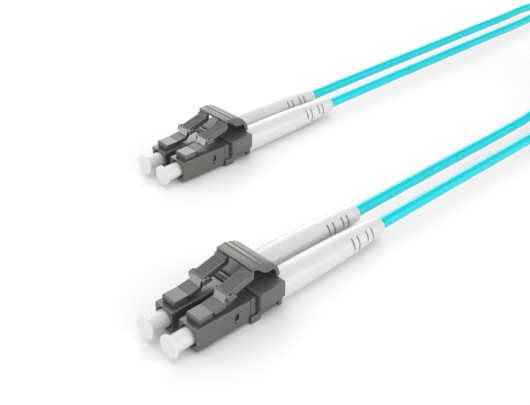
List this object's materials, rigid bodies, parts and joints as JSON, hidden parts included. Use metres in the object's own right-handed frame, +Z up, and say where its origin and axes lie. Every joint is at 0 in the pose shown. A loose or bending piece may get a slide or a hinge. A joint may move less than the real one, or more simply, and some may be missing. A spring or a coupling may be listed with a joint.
{
  "type": "fibre optic patch cord",
  "caption": "Duplex fibre patch cord: square push-in plugs paired in clips with release triggers, slit boots, dust caps and thin jacketed cords wound in a coil.",
  "frame": {"origin": "middle of the two ends' box, at the surface they lie on", "axes": "+X across the plugs, +Y from the plug faces towards the cords, +Z up"},
  "size_m": [0.0794, 0.2087, 0.011],
  "materials": {
    "connector": "satin moulded",
    "ferrule": "polished",
    "steel": "plain",
    "yarn": "fibrous",
    "boot": "soft matt",
    "cap": "soft translucent white",
    "buffer": "smooth",
    "jacket": "smooth"
  },
  "bodies": {
    "ends_and_cords": {"housing_a_left": "connector", "rear_body_a_left": "connector", "spring_a_left": "steel", "yarn_a_left": "yarn", "crimp_ring_a_left": "steel", "boot_a_left": "boot", "buffer_a_left": "buffer", "jacket_a_left": "jacket", "housing_a_right": "connector", "rear_body_a_right": "connector", "spring_a_right": "steel", "yarn_a_right": "yarn", "crimp_ring_a_right": "steel", "boot_a_right": "boot", "buffer_a_right": "buffer", "jacket_a_right": "jacket", "clip_a": "connector", "housing_b_left": "connector", "rear_body_b_left": "connector", "spring_b_left": "steel", "yarn_b_left": "yarn", "crimp_ring_b_left": "steel", "boot_b_left": "boot", "buffer_b_left": "buffer", "jacket_b_left": "jacket", "housing_b_right": "connector", "rear_body_b_right": "connector", "spring_b_right": "steel", "yarn_b_right": "yarn", "crimp_ring_b_right": "steel", "boot_b_right": "boot", "buffer_b_right": "buffer", "jacket_b_right": "jacket", "clip_b": "connector", "cord_1_from_a": "jacket", "cord_1_coil": "jacket", "cord_1_to_b": "jacket", "cord_2_from_a": "jacket", "cord_2_coil": "jacket", "cord_2_to_b": "jacket"},
    "latch_a_left": {"latch_a_left": "connector"},
    "ferrule_a_left": {"ferrule_a_left": "ferrule", "holder_a_left": "steel"},
    "dust_cap_a_left": {"dust_cap_a_left": "cap"},
    "latch_a_right": {"latch_a_right": "connector"},
    "ferrule_a_right": {"ferrule_a_right": "ferrule", "holder_a_right": "steel"},
    "dust_cap_a_right": {"dust_cap_a_right": "cap"},
    "trigger_a": {"trigger_a": "connector"},
    "latch_b_left": {"latch_b_left": "connector"},
    "ferrule_b_left": {"ferrule_b_left": "ferrule", "holder_b_left": "steel"},
    "dust_cap_b_left": {"dust_cap_b_left": "cap"},
    "latch_b_right": {"latch_b_right": "connector"},
    "ferrule_b_right": {"ferrule_b_right": "ferrule", "holder_b_right": "steel"},
    "dust_cap_b_right": {"dust_cap_b_right": "cap"},
    "trigger_b": {"trigger_b": "connector"}
  },
  "joints": [
    {"name": "trigger_a_press", "type": "hinge", "parent": "ends_and_cords", "child": "trigger_a", "pos_m": [0.02187, -0.0199, 0.0056], "axis": [1, 0, 0], "range_deg": [0, 10], "stiffness_Nm_per_rad": 0.05},
    {"name": "latch_a_left_flex", "type": "hinge", "parent": "ends_and_cords", "child": "latch_a_left", "pos_m": [0.01875, -0.0345, 0.0058], "axis": [1, 0, 0], "range_deg": [-7.5, 0], "stiffness_Nm_per_rad": 0.02},
    {"name": "ferrule_a_left_give", "type": "slide", "parent": "ends_and_cords", "child": "ferrule_a_left", "axis": [0, 1, 0], "range_m": [0, 0.0008], "stiffness_N_per_m": 1000, "deforming": ["spring_a_left"]},
    {"name": "dust_cap_a_left_pull", "type": "slide", "parent": "ends_and_cords", "child": "dust_cap_a_left", "axis": [0, -1, 0], "range_m": [0, 0.02]},
    {"name": "latch_a_right_flex", "type": "hinge", "parent": "ends_and_cords", "child": "latch_a_right", "pos_m": [0.025, -0.0345, 0.0058], "axis": [1, 0, 0], "range_deg": [-7.5, 0], "stiffness_Nm_per_rad": 0.02},
    {"name": "ferrule_a_right_give", "type": "slide", "parent": "ends_and_cords", "child": "ferrule_a_right", "axis": [0, 1, 0], "range_m": [0, 0.0008], "stiffness_N_per_m": 1000, "deforming": ["spring_a_right"]},
    {"name": "dust_cap_a_right_pull", "type": "slide", "parent": "ends_and_cords", "child": "dust_cap_a_right", "axis": [0, -1, 0], "range_m": [0, 0.02]},
    {"name": "trigger_b_press", "type": "hinge", "parent": "ends_and_cords", "child": "trigger_b", "pos_m": [-0.02187, 0.0132, 0.0056], "axis": [1, 0, 0], "range_deg": [0, 10], "stiffness_Nm_per_rad": 0.05},
    {"name": "latch_b_left_flex", "type": "hinge", "parent": "ends_and_cords", "child": "latch_b_left", "pos_m": [-0.025, -0.0014, 0.0058], "axis": [1, 0, 0], "range_deg": [-7.5, 0], "stiffness_Nm_per_rad": 0.02},
    {"name": "ferrule_b_left_give", "type": "slide", "parent": "ends_and_cords", "child": "ferrule_b_left", "axis": [0, 1, 0], "range_m": [0, 0.0008], "stiffness_N_per_m": 1000, "deforming": ["spring_b_left"]},
    {"name": "dust_cap_b_left_pull", "type": "slide", "parent": "ends_and_cords", "child": "dust_cap_b_left", "axis": [0, -1, 0], "range_m": [0, 0.02]},
    {"name": "latch_b_right_flex", "type": "hinge", "parent": "ends_and_cords", "child": "latch_b_right", "pos_m": [-0.01875, -0.0014, 0.0058], "axis": [1, 0, 0], "range_deg": [-7.5, 0], "stiffness_Nm_per_rad": 0.02},
    {"name": "ferrule_b_right_give", "type": "slide", "parent": "ends_and_cords", "child": "ferrule_b_right", "axis": [0, 1, 0], "range_m": [0, 0.0008], "stiffness_N_per_m": 1000, "deforming": ["spring_b_right"]},
    {"name": "dust_cap_b_right_pull", "type": "slide", "parent": "ends_and_cords", "child": "dust_cap_b_right", "axis": [0, -1, 0], "range_m": [0, 0.02]}
  ],
  "couplings": [
    {"joint": "latch_a_left_flex", "follows": "trigger_a_press", "ratio": -0.75},
    {"joint": "latch_a_right_flex", "follows": "trigger_a_press", "ratio": -0.75},
    {"joint": "latch_b_left_flex", "follows": "trigger_b_press", "ratio": -0.75},
    {"joint": "latch_b_right_flex", "follows": "trigger_b_press", "ratio": -0.75}
  ]
}
